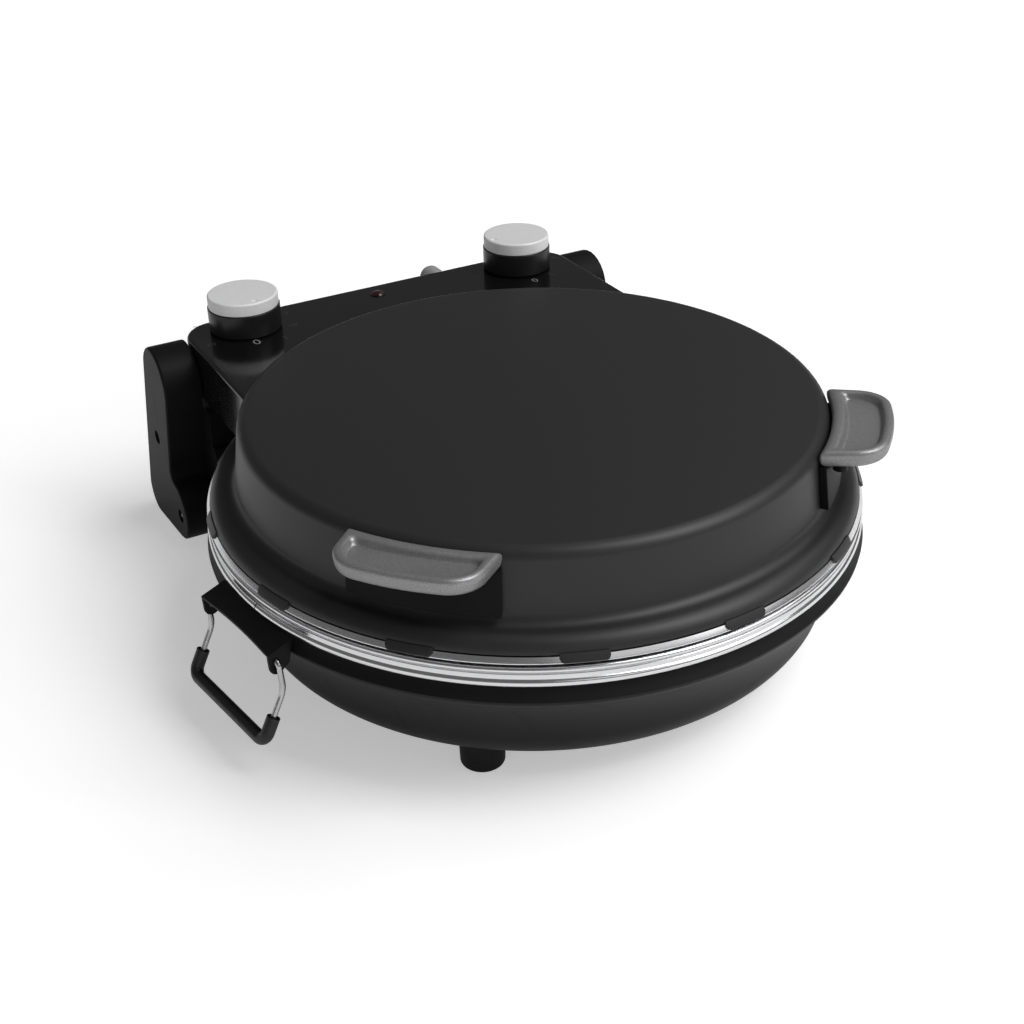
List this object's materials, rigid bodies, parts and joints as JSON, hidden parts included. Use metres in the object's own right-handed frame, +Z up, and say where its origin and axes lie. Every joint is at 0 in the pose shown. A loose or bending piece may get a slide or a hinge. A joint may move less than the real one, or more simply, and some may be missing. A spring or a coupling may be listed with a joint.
{
  "type": "electric pizza maker",
  "caption": "Round countertop pizza oven: a baking stone between two heating loops, under a domed lid with a timer and thermostat that opens on rear hinge arms.",
  "frame": {"origin": "on the table, below the centre of the round body", "axes": "+Z up, -Y towards the cook in front, +Y towards the hinge and the controls, +X to the right seen from the front"},
  "size_m": [0.4018, 0.4136, 0.1512],
  "materials": {
    "gloss_black_enamel": "high-gloss black enamel on pressed steel",
    "satin_black_enamel": "satin black heat-proof paint on pressed steel",
    "bright_steel": "bright rolled steel with fine turning lines",
    "gloss_black_plastic": "gloss black heat-proof moulding",
    "satin_black_plastic": "satin black heat-proof moulding",
    "metallic_grey_plastic": "metallic grey lacquered moulding",
    "pale_plastic": "satin silver lacquered moulding",
    "grey_plastic": "plain grey moulding",
    "black_rubber": "matt black heat-proof rubber",
    "stone": "pale, slightly rough fired stone",
    "ceramic": "glazed white ceramic",
    "heater_tube": "dark oxidised steel sheath",
    "lamp_lens": "dark red polished lens",
    "plated_wire": "bright plated spring wire",
    "plated_steel": "zinc-plated steel"
  },
  "bodies": {
    "base": {"base_bowl": "satin_black_enamel", "base_ring": "bright_steel", "base_reflector": "bright_steel", "pizza_stone": "stone", "lower_element": "heater_tube", "lower_element_clips": "plated_steel", "feet": "black_rubber", "foot_screws": "plated_steel", "rear_housing": "satin_black_plastic", "rear_cover": "satin_black_plastic", "rear_cover_screws": "plated_steel", "terminal_block": "ceramic", "arm_left": "satin_black_plastic", "arm_right": "satin_black_plastic", "arm_cover_left": "satin_black_plastic", "arm_cover_right": "satin_black_plastic", "arm_screws": "plated_steel", "hinge_pin_left": "plated_steel", "hinge_pin_right": "plated_steel", "bail_bracket_left": "satin_black_enamel", "bail_bracket_right": "satin_black_enamel"},
    "lid": {"lid_shell": "gloss_black_enamel", "lid_liner": "bright_steel", "upper_element": "heater_tube", "upper_element_clips": "plated_steel", "housing_top": "gloss_black_plastic", "housing_base": "satin_black_plastic", "housing_screws": "plated_steel", "hinge_bush_left": "grey_plastic", "hinge_bush_right": "grey_plastic", "timer": "plated_steel", "thermostat": "plated_steel", "spindle_nuts": "plated_steel", "indicator_lamp": "lamp_lens", "cord_gland": "grey_plastic", "handle_mount_left": "satin_black_plastic", "handle_mount_right": "satin_black_plastic", "handle_grip_left": "metallic_grey_plastic", "handle_grip_right": "metallic_grey_plastic", "handle_screws": "plated_steel"},
    "knob_left": {"knob_skirt_left": "gloss_black_plastic", "knob_cap_left": "pale_plastic", "knob_shaft_left": "plated_steel"},
    "knob_right": {"knob_skirt_right": "gloss_black_plastic", "knob_cap_right": "pale_plastic", "knob_shaft_right": "plated_steel"},
    "bail_left": {"bail_wire_left": "plated_wire", "bail_sleeve_left": "satin_black_plastic"},
    "bail_right": {"bail_wire_right": "plated_wire", "bail_sleeve_right": "satin_black_plastic"}
  },
  "joints": [
    {"name": "lid_hinge", "type": "hinge", "parent": "base", "child": "lid", "pos_m": [0, 0.187, 0.106], "axis": [-1, 0, 0], "range_deg": [0, 100]},
    {"name": "timer_turn", "type": "hinge", "parent": "lid", "child": "knob_left", "pos_m": [-0.0926, 0.1829, 0.13], "axis": [0, 0, -1], "range_deg": [0, 300]},
    {"name": "thermostat_turn", "type": "hinge", "parent": "lid", "child": "knob_right", "pos_m": [0.0926, 0.1829, 0.13], "axis": [0, 0, -1], "range_deg": [0, 270]},
    {"name": "bail_left_swing", "type": "hinge", "parent": "base", "child": "bail_left", "pos_m": [-0.18055, -0.02731, 0.066], "axis": [-0.1495, 0.9888, 0], "range_deg": [0, 95]},
    {"name": "bail_right_swing", "type": "hinge", "parent": "base", "child": "bail_right", "pos_m": [0.18055, 0.02731, 0.066], "axis": [0.1495, -0.9888, 0], "range_deg": [0, 95]}
  ]
}
